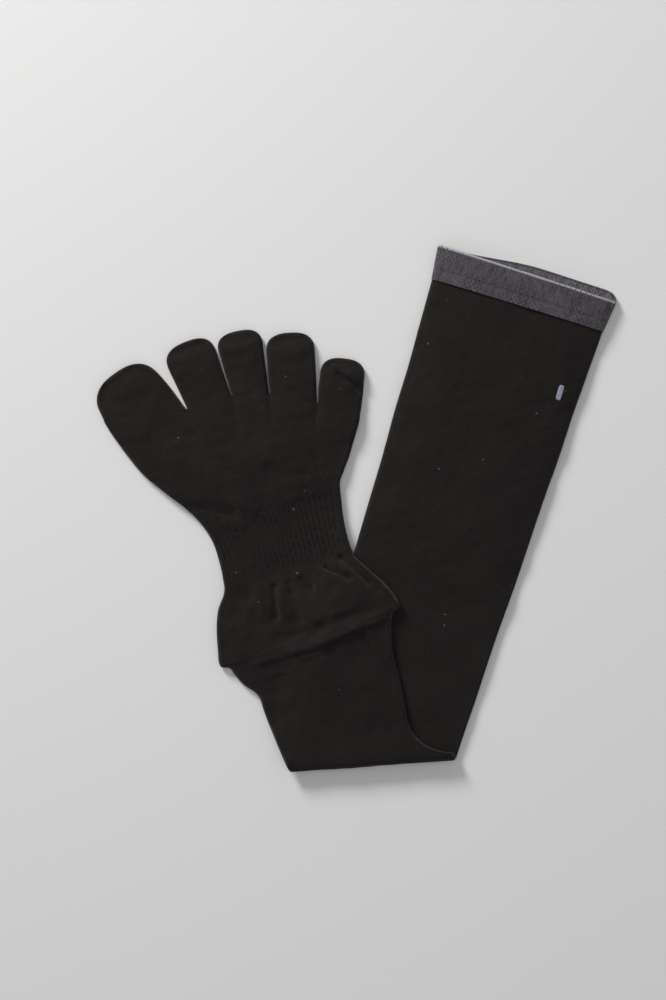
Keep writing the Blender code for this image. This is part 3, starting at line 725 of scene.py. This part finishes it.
def blend_colours(tree, share, first, second):
    made = tree.nodes.new("ShaderNodeMix")
    made.data_type = "RGBA"
    for socket, value in ((made.inputs[0], share), (made.inputs[6], first), (made.inputs[7], second)):
        if isinstance(value, (int, float, tuple)):
            socket.default_value = value
        else:
            tree.links.new(value, socket)
    return made.outputs[2]


def overlaid(tree, colour, mask, strength, added):
    """colour with added over it, where mask is, at this strength."""
    return blend_colours(tree, maths(tree, "MULTIPLY", mask, strength), colour, added)


def bump(tree, height, distance, strength, under=None):
    made = tree.nodes.new("ShaderNodeBump")
    made.inputs["Strength"].default_value = strength
    made.inputs["Distance"].default_value = distance
    tree.links.new(height, made.inputs["Height"])
    if under:
        tree.links.new(under, made.inputs["Normal"])
    return made.outputs["Normal"]


def cloth_material(name, sheen, roughness):
    made = bpy.data.materials.new(name)
    made.use_nodes = True
    shader = made.node_tree.nodes["Principled BSDF"]
    shader.inputs["Roughness"].default_value = roughness
    shader.inputs["Specular IOR Level"].default_value = 0.15
    shader.inputs["Sheen Weight"].default_value = sheen
    shader.inputs["Sheen Roughness"].default_value = 0.35
    return made, made.node_tree, shader


def black_knit(name="black_knit", ribbed=False):
    """Fine black knit, faintly brown, with painted shade in its stitch grooves and a fleck of lint here and
    there. Ribbed has dashed grooves.
    """
    made, tree, shader = cloth_material(name, sheen=0.22, roughness=0.92)
    shader.inputs["Sheen Tint"].default_value = KNIT_SHEEN_TINT
    stitches = stitch_height(tree, WALE, COURSE)
    yarn = noise_value(tree, YARN_SCALE, 3.0, 0.65)
    mottle = noise_value(tree, MOTTLE_SCALE, 3.0, 0.55)
    # Painted shade in the stitch grooves: darker where the stitch height is low, with random yarn and mottle
    # tone over it
    stitch_shade_and_yarn_tone = maths(tree, "MULTIPLY_ADD", stitches, 0.42, maths(tree, "MULTIPLY", yarn, 0.75))
    stitch_shade_and_yarn_tone = maths(tree, "MULTIPLY_ADD", mottle, 0.30, stitch_shade_and_yarn_tone)
    colour = blend_colours(tree, stretched(tree, stitch_shade_and_yarn_tone, 0.30, 1.14), KNIT_DARK, KNIT_LIGHT)
    height = stitches
    if ribbed:
        rib = ANKLE_FLAT_WIDTH / RIBS
        dashes = groove_dashes(tree, rib, DASH_SPACING, DASH_SHIFT, (0.16, 0.05), (0.42, 0.30))
        dashes = in_patches(tree, dashes, 75, 0.40, 0.50)
        colour = overlaid(tree, colour, dashes, 0.85, DASH_COLOUR)
        height = maths(tree, "SUBTRACT", stitches, maths(tree, "MULTIPLY", dashes, 0.9))
    lint = stretched(tree, noise_value(tree, LINT_SCALE, 0.0), *LINT_RANGE)
    colour = overlaid(tree, colour, lint, LINT_STRENGTH, LINT_COLOUR)
    tree.links.new(colour, shader.inputs["Base Color"])
    fuzz = bump(tree, yarn, 0.00022, 0.7)
    tree.links.new(bump(tree, height, 0.00030, 0.7, fuzz), shader.inputs["Normal"])
    return made


def grey_welt():
    """Heather grey rib with dark dots in its grooves, a painted highlight along its rolled rim, painted shade
    in its stitch grooves, and a warmer band below the sewn line.
    """
    made, tree, shader = cloth_material("grey_welt", sheen=0.25, roughness=0.9)
    shader.inputs["Sheen Tint"].default_value = WELT_SHEEN_TINT
    _, along = knit_places(tree)
    stitches = stitch_height(tree, WELT_RIB / 2, COURSE)
    fibres = noise_value(tree, 1000, 3.0, 0.75)
    heather = noise_value(tree, 420, 2.0, 0.6, (1.0, 0.4, 1.0))
    # Fibre and heather tone, with painted shade in the stitch grooves where the stitch height is low
    stitch_shade_and_yarn_tone = maths(tree, "MULTIPLY_ADD", fibres, 0.85, maths(tree, "MULTIPLY", heather, 0.55))
    stitch_shade_and_yarn_tone = maths(tree, "MULTIPLY_ADD", stitches, 0.18, stitch_shade_and_yarn_tone)
    share = stretched(tree, stitch_shade_and_yarn_tone, 0.52, 0.98)
    upper = blend_colours(tree, share, WELT_DARK, WELT_LIGHT)
    lower = blend_colours(tree, share, LOW_WELT_DARK, LOW_WELT_LIGHT)
    inner = blend_colours(tree, share, INNER_WELT_DARK, INNER_WELT_LIGHT)
    below_line = stretched(tree, along, WELT_LINE + 0.0020, WELT_LINE - 0.0020)
    turned_in = stretched(tree, along, CUFF_HEIGHT + WELT / 2, CUFF_HEIGHT + WELT)
    colour = blend_colours(tree, below_line, upper, lower)
    colour = blend_colours(tree, turned_in, colour, inner)
    # Painted highlight: a pale band just below the rim, where the rolled edge would catch the light
    rim_highlight = closeness(tree, along, CUFF_HEIGHT - 0.0006, 0.0009, 0.0002)
    colour = overlaid(tree, colour, rim_highlight, 0.90, RIM_HIGHLIGHT_COLOUR)
    at_line = closeness(tree, along, WELT_LINE, 0.0008, 0.0002)
    colour = overlaid(tree, colour, at_line, 0.30, LINE_COLOUR)
    dots = groove_dashes(tree, WELT_RIB, DOT_SPACING, DOT_SHIFT, (0.22, 0.10), (0.46, 0.34))
    dots = in_patches(tree, dots, 60, 0.42, 0.56)
    colour = overlaid(tree, colour, dots, 0.8, DOT_COLOUR)
    tree.links.new(colour, shader.inputs["Base Color"])
    fuzz = bump(tree, fibres, 0.00022, 0.6)
    height = maths(tree, "SUBTRACT", stitches, dots)
    tree.links.new(bump(tree, height, 0.00028, 0.8, fuzz), shader.inputs["Normal"])
    return made


def pale_print():
    """The small plain bar: a matt pale transfer, a little worn."""
    made, tree, shader = cloth_material("pale_print", sheen=0.05, roughness=0.6)
    worn = noise_value(tree, 900, 3.0, 0.7)
    colour = blend_colours(tree, stretched(tree, worn, 0.3, 0.7), PRINT_DARK, PRINT_LIGHT)
    tree.links.new(colour, shader.inputs["Base Color"])
    tree.links.new(bump(tree, worn, 0.00012, 0.6), shader.inputs["Normal"])
    return made


# Where the leg's own frame lies in the part's
cuff_low, cuff_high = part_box("cuff")
cuff_middle = (cuff_low.x + cuff_high.x) / 2
mouth_middle = leg_middle(LEG_LENGTH + CUFF_HEIGHT - WELT / 2)
LEG_ORIGIN = np.array((cuff_middle - mouth_middle, cuff_low.y - LEG_LENGTH - SEAM_GAP / 2, 0.0))


def make_knit():
    """The black tube as one grid from the cuff to the toe line, cut into its zones."""
    ring = Ring(SIDE_STEPS, KNIT_COLUMNS)
    around = ring.around(ANKLE_FLAT_WIDTH)
    ys = LEG_LENGTH + (TURN_Y - LEG_LENGTH) * np.linspace(0, 1, LEG_ROWS)
    angles = np.linspace(0, math.pi, TURN_ROWS + 1)[1:]
    places = np.concatenate([np.linspace(start, end, count + 1)[1:] for _, start, end, count in KNIT_ZONES])

    def whole(inset):
        skins = (leg_skin(ring, ys, inset), turn_skin(ring, angles, inset), foot_skin(ring, places, inset))
        return np.concatenate(skins)

    outer, inner = whole(0.0), whole(KNIT)
    steps = np.linalg.norm(np.diff(outer.mean(axis=1), axis=0), axis=1)
    along = np.concatenate(([0.0], np.cumsum(steps)))

    # Lumps on what lies uppermost, fewer where the foot presses the leg flat
    turned = np.concatenate((np.zeros(len(ys)), angles / math.pi, np.ones(len(places))))[:, None]
    upper = np.where(ring.on_a, smooth(turned), 1 - smooth(turned)) * ring.roundness
    pressed = smooth((PRESSED_BELOW - outer[..., 1]) / PRESSED_RUN) * (1 - turned)
    lumps = SOFT_LUMPS * soft_lumps(outer) * upper * (1 - (1 - PRESSED_LUMPS) * pressed)
    outer = outer + row_normals(outer) * lumps[..., None]

    # Side folds that waver
    side_on = (1 - ring.roundness) * np.sign(ring.share - 0.5)
    line = np.stack((along, along * 0, along * 0), -1)
    straying = EDGE_WAVER * side_on[None, :] * waves(line, EDGE_WAVER_SPAN, seed=11)[:, None]
    across = outer[:, [np.argmax(ring.share)]] - outer[:, [0]]
    across = across / np.linalg.norm(across, axis=-1, keepdims=True)
    outer = outer + across * straying[..., None]
    inner = inner + across * straying[..., None]
    normals = row_normals(outer)

    made = []
    first = 0
    turn_ends = len(ys) + len(angles)
    for name, _, _, count in KNIT_ZONES:
        is_leg = name == "leg"
        last = count + (turn_ends - 1 if is_leg else first)
        finer_from = turn_ends if is_leg else first
        coarse = np.linspace(first, finer_from, LEG_INNER_ROWS)
        fine = np.linspace(finer_from, last, count // INNER_STEP)
        inner_rows = np.unique(np.concatenate((coarse, fine)).astype(int))
        rows = slice(first, last + 1)
        finish = FINISHES["ribbed"] if name == "arch_band" else FINISHES["plain"]
        lengths = (along[rows], along[inner_rows])
        piece = shell(f"{name}_knit", outer[rows], inner[inner_rows], around, *lengths, finish)
        smooth_borders(piece, normals[rows].reshape(-1, 3))
        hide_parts(name)
        made.append(piece)
        first = last
    return made, along[-1]


def make_toe(toe, along_start):
    """One toe: a closed sleeve from its stretch of the toe line to a rounded tip."""
    name, start, end, splay, length, width = toe
    left_end, right_end, bow, row_hollow = (value[0] for value in foot_sections(np.array([float(TOE_ROW)])))
    line = right_end - left_end
    part = TOE_PART / 2 / np.linalg.norm(line)
    base_start = start + (part if start > 0 else 0.0)
    base_end = end - (part if end < 1 else 0.0)

    def on_toe_line(across):
        across = np.asarray(across)
        return left_end + line * across[..., None] + bow * toe_line_bow(across)[..., None]

    base_left, base_right = on_toe_line(base_start), on_toe_line(base_end)
    base_middle = (base_left + base_right) / 2
    lean = math.radians(splay)
    axis = FOOT_ALONG * math.cos(lean) + FOOT_CROSS * math.sin(lean)
    side = np.array((axis[1], -axis[0]))
    reach = length * TOE_LENGTH
    half_width = width * TOE_WIDTH / 2
    base_half = (base_right - base_left) / 2
    base_length = np.linalg.norm(base_half)
    rounding = TIP_ROUNDING * half_width
    rim = EDGE_LOFT / 2
    ring = Ring(SIDE_STEPS, TOE_COLUMNS)
    wales_share = (end - start) * ANKLE_FLAT_WIDTH
    around = start * ANKLE_FLAT_WIDTH + ring.around(2 * half_width) * wales_share / (2 * half_width)

    def skin(from_tip, inset):
        run = (reach - from_tip)[:, None]
        squared = smooth(run / (TOE_SQUARES * reach))
        widened = np.minimum(run / (TOE_WIDENS * reach), 1.0)
        half = mix(base_half, side * base_length, squared)
        direction = half / np.linalg.norm(half, axis=1, keepdims=True)
        inner_tip = np.maximum(from_tip - inset, 0.0)[:, None]
        near_tip = np.maximum(1 - inner_tip / (rounding - inset), 0.0)
        narrowing = (1 - near_tip**TIP_SQUARENESS) ** (1 / TIP_SQUARENESS)
        half_across = (mix(base_length, half_width, widened) - inset) * narrowing + inset
        middle = base_middle + axis * run
        left, right = middle - direction * half_across, middle + direction * half_across
        plan, across = ring.plan(left, right, inset)
        along_base = mix(base_start, base_end, across)
        bowed = on_toe_line(along_base) - mix(base_left, base_right, across[..., None])
        plan = plan + bowed * (1 - squared)[..., None]
        rim_left = np.maximum(1 - inner_tip / (rim - inset), 0.0)
        tip_roundness = np.sqrt(1 - rim_left**2)
        hollow = mix(row_hollow, TOE_HOLLOW, smooth(run / (TOE_SETTLES * reach)))
        edge = np.minimum(1.0, half_across / (2 * rim))
        floor = floor_height(plan)
        loft = 2 * KNIT + mix(PRESSED_HOLLOW, hollow, crown(across, FOOT_CROWN) * edge)
        loft = mix(EDGE_LOFT, loft, smooth(inner_tip / rounding))
        from_edge = np.minimum(np.minimum(across, 1 - across) * 2 * half_across, from_tip[:, None])
        relief = crease_height(plan) * crown(across, RELIEF_CROWN) * smooth(inner_tip / (3 * rim))
        relief = relief + rim_bead(from_edge)
        height = ring.height(floor + loft + relief, floor, inset, tip_roundness)
        return solid_points(plan, height)

    tip_steps = rim * (1 - np.cos(np.radians(TIP_ARC)))
    body = np.linspace(rim, reach, TOE_ROWS)[1:]
    from_tip = np.concatenate((tip_steps, body))
    outer = skin(from_tip, 0.0)
    inner_body = np.linspace(INNER_TIP_ROWS[-1] + 2, len(from_tip) - 1, INNER_TOE_ROWS).astype(int)
    inner_rows = np.concatenate((INNER_TIP_ROWS, inner_body))
    inner_from_tip = from_tip[inner_rows] + KNIT * (1 - inner_rows / inner_rows[-1])
    inner = skin(inner_from_tip, KNIT)
    upper = np.where(ring.on_a, 1.0, 0.0) * ring.roundness * smooth(from_tip / TIP_LUMPS_RUN)[:, None]
    outer = outer + row_normals(outer) * (SOFT_LUMPS * soft_lumps(outer) * upper)[..., None]
    along = along_start + reach - from_tip
    finish = FINISHES["plain"]
    piece = shell(
        f"{name}_knit", outer, inner, around, along, along[inner_rows], finish, turned_over=True, cap=True
    )
    smooth_borders(piece, row_normals(outer).reshape(-1, 3))
    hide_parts(name)
    return piece


def make_cuff():
    """The grey welt: turned over at the mouth, ribbed, and sewn down along a line in its lower third."""
    columns = Ring(CUFF_SIDE_STEPS, CUFF_COLUMNS)
    start, end = LEG_LENGTH, LEG_LENGTH + CUFF_HEIGHT
    rim = WELT / 2
    body = np.linspace(start, end - rim, CUFF_ROWS)
    bend = np.linspace(0, math.pi, RIM_ROWS)[1:-1]
    back = np.linspace(end - rim, start, CUFF_INNER_ROWS)
    ys = np.concatenate((body, end - rim + rim * np.sin(bend), back))
    insets = np.concatenate((body * 0, rim - rim * np.cos(bend), back * 0 + WELT))[:, None]
    left, right = leg_ends(ys)
    risen = ((ys - start) / CUFF_HEIGHT)[:, None]
    spare = WELT - KNIT + MOUTH_FLARE * risen
    left[:, 1] = right[:, 1] = ys
    wide_left, wide_right = left.copy(), right.copy()
    wide_left[:, :1] -= spare
    wide_right[:, :1] += spare
    plan, across = columns.plan(wide_left, wide_right, insets)
    hollow_x = np.clip(plan[..., 0], left[:, :1], right[:, :1])
    top = 2 * WELT + leg_hollow(hollow_x, ys[:, None])
    shown = smooth((across - STAGGER_STARTS) / STAGGER_RUN) * crown(across, STAGGER_CROWN)
    rise = MOUTH_LIFT + MOUTH_TILT * (1 - 2 * across) + np.where(columns.on_a, MOUTH_STAGGER * shown, 0.0)
    plan[..., 1] += rise * risen
    grid = solid_points(plan, columns.height(np.zeros_like(top), top, insets))

    around = columns.around(CUFF_FLAT_WIDTH + MOUTH_FLARE)
    over_rim = CUFF_HEIGHT + rim * (bend - math.pi / 2)
    along = np.concatenate((body - start, over_rim, 2 * CUFF_HEIGHT - (back - start)))
    up = along[:, None]
    outside = smooth((len(body) + len(bend) - np.arange(len(ys))[:, None]) / len(bend))
    rib = np.cos(2 * math.pi * around[:-1] / WELT_RIB) - 1
    line = np.exp(-(((up - WELT_LINE) / WELT_LINE_WIDTH) ** 2))
    puff = np.sin(math.pi * np.clip((up - WELT_LINE) / (CUFF_HEIGHT - WELT_LINE), 0, 1))
    relief = WELT_RIB_DEPTH * rib * (1 - WELT_LINE_FLATTENS * line)
    relief = relief - WELT_LINE_DEPTH * line + WELT_PUFF * puff
    relief = relief + WELT_LUMPS * waves(grid, WELT_LUMP_SPAN, seed=21)
    lying = np.where(columns.on_a, UNDERSIDE_RELIEF, 1.0)
    relief = relief * outside * smooth(up / WELT_SEAM_RUN) * lying
    grid = grid + row_normals(grid) * relief[..., None]
    half = len(body) + len(bend)
    inside = slice(len(ys) - 1, half - 1, -1)
    outer, inner = grid[:half], grid[inside]
    piece = shell(
        "cuff_knit", outer, inner, around, along[:half], along[inside], FINISHES["welt"], turned_over=True
    )
    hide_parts("cuff")
    return piece


BAR_MIDDLE = np.array((0.0385, 0.2290))  # in the leg's own frame
BAR_SIZE = np.array((0.0030, 0.0085))
BAR_THICKNESS = 0.00018
BAR_LIFT = 0.00012  # of its edge above the knit
BAR_SEARCH_HEIGHT = 0.05  # above the whole sock; the knit under the bar is looked for from here
BAR_COLUMNS = 14
BAR_ROWS = 34
BAR_CORNERS = 0.18  # how far its corners are drawn in
BAR_EDGE_POWER = 6  # how late its thickness falls off towards the edge
BAR_CORNER_POWER = 4


def make_bar(leg):
    """A small plain pale bar that lies on the leg near its right side."""
    leg_now = leg.evaluated_get(bpy.context.evaluated_depsgraph_get())
    points = []
    for v in np.linspace(-1, 1, BAR_ROWS):
        for u in np.linspace(-1, 1, BAR_COLUMNS):
            edge = max(abs(u), abs(v)) ** BAR_EDGE_POWER
            rounding = 1 - BAR_CORNERS * (abs(u) * abs(v)) ** BAR_CORNER_POWER
            spot = BAR_MIDDLE + BAR_SIZE / 2 * np.array((u, v)) * rounding + LEG_ORIGIN[:2]
            _, place, _, _ = leg_now.ray_cast(Vector((*spot, BAR_SEARCH_HEIGHT)), Vector((0, 0, -1)))
            points.append((place.x, place.y, place.z + BAR_LIFT + BAR_THICKNESS * (1 - edge)))
    faces = []
    for row in range(BAR_ROWS - 1):
        for column in range(BAR_COLUMNS - 1):
            corner = row * BAR_COLUMNS + column
            faces.append((corner, corner + 1, corner + BAR_COLUMNS + 1, corner + BAR_COLUMNS))
    mesh = bpy.data.meshes.new("pale_bar")
    mesh.from_pydata(points, [], faces)
    mesh.materials.append(pale_print())
    mesh.shade_smooth()
    made = bpy.data.objects.new("pale_bar", mesh)
    bpy.context.scene.collection.objects.link(made)
    thick = made.modifiers.new("thickness", "SOLIDIFY")
    thick.thickness = BAR_LIFT + BAR_THICKNESS
    thick.offset = -1
    return made


FINISHES = {"plain": black_knit(), "ribbed": black_knit("ribbed_knit", True), "welt": grey_welt()}

zones, tube_length = make_knit()
toes = [make_toe(toe, tube_length) for toe in TOES]
cuff = make_cuff()
bpy.context.view_layer.update()
bar = make_bar(zones[0])
for piece in zones + toes + [cuff, bar]:
    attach(piece, "root")


# Floor, light and camera

PHOTO_TURN = math.radians(17.1)  # how far the photo's upright leans left of the leg
PHOTO_UP = Vector((-math.sin(PHOTO_TURN), math.cos(PHOTO_TURN), 0.0))
PHOTO_RIGHT = Vector((math.cos(PHOTO_TURN), math.sin(PHOTO_TURN), 0.0))
VIEW_HEIGHT = 0.557  # what the photo's frame spans, top to bottom
VIEW_CENTRE = Vector(LEG_ORIGIN) + Vector((-0.0644, 0.1350, 0.0))  # what the middle of the photo shows
CAMERA_HEIGHT = 1.9
FLOOR_REACH = 3.0
FLOOR_DROP = 0.0003  # how far the floor lies under the lowest knit
FLOOR_COLOUR = (0.72, 0.71, 0.70, 1.0)
ROOM_COLOUR = (0.9, 0.92, 0.95, 1.0)
ROOM_STRENGTH = 0.32

LIGHTS = (
    # name, up and right in the photo, height, size, watts
    ("key", 1.35, -0.95, 0.85, 0.6, 34.0),
    ("overhead", 0.0, 0.0, 2.3, 1.6, 8.0),
    ("fill", -1.2, 0.8, 1.0, 1.2, 2.0),
)


def add_area(name, place, size, watts):
    """A round soft light that shines on the middle of the view."""
    light = bpy.data.lights.new(name, "AREA")
    light.shape = "DISK"
    light.size = size
    light.energy = watts
    made = bpy.data.objects.new(name, light)
    made.location = place
    made.rotation_euler = (VIEW_CENTRE - place).to_track_quat("-Z", "Y").to_euler()
    bpy.context.scene.collection.objects.link(made)


floor_mesh = bpy.data.meshes.new("floor")
floor_corners = [(x * FLOOR_REACH, y * FLOOR_REACH, 0) for x, y in ((-1, -1), (1, -1), (1, 1), (-1, 1))]
floor_mesh.from_pydata(floor_corners, [], [(0, 1, 2, 3)])
floor = bpy.data.objects.new("floor", floor_mesh)
floor.location.z = -FLOOR_DROP
bpy.context.scene.collection.objects.link(floor)
paper = bpy.data.materials.new("floor_paper")
paper.use_nodes = True
paper.node_tree.nodes["Principled BSDF"].inputs["Base Color"].default_value = FLOOR_COLOUR
paper.node_tree.nodes["Principled BSDF"].inputs["Roughness"].default_value = 0.95
floor_mesh.materials.append(paper)

for name, up, right, height, size, watts in LIGHTS:
    add_area(name, VIEW_CENTRE + PHOTO_UP * up + PHOTO_RIGHT * right + Vector((0, 0, height)), size, watts)
world = bpy.data.worlds.new("soft_room")
world.use_nodes = True
world.node_tree.nodes["Background"].inputs["Color"].default_value = ROOM_COLOUR
world.node_tree.nodes["Background"].inputs["Strength"].default_value = ROOM_STRENGTH
bpy.context.scene.world = world
bpy.context.scene.view_settings.view_transform = "Standard"

camera_data = bpy.data.cameras.new("camera")
camera_data.sensor_fit = "VERTICAL"
camera_data.angle = 2 * math.atan(VIEW_HEIGHT / 2 / CAMERA_HEIGHT)
camera = bpy.data.objects.new("camera", camera_data)
camera.location = VIEW_CENTRE + Vector((0, 0, CAMERA_HEIGHT))
camera.rotation_euler = (0.0, 0.0, PHOTO_TURN)
bpy.context.scene.collection.objects.link(camera)
bpy.context.scene.camera = camera
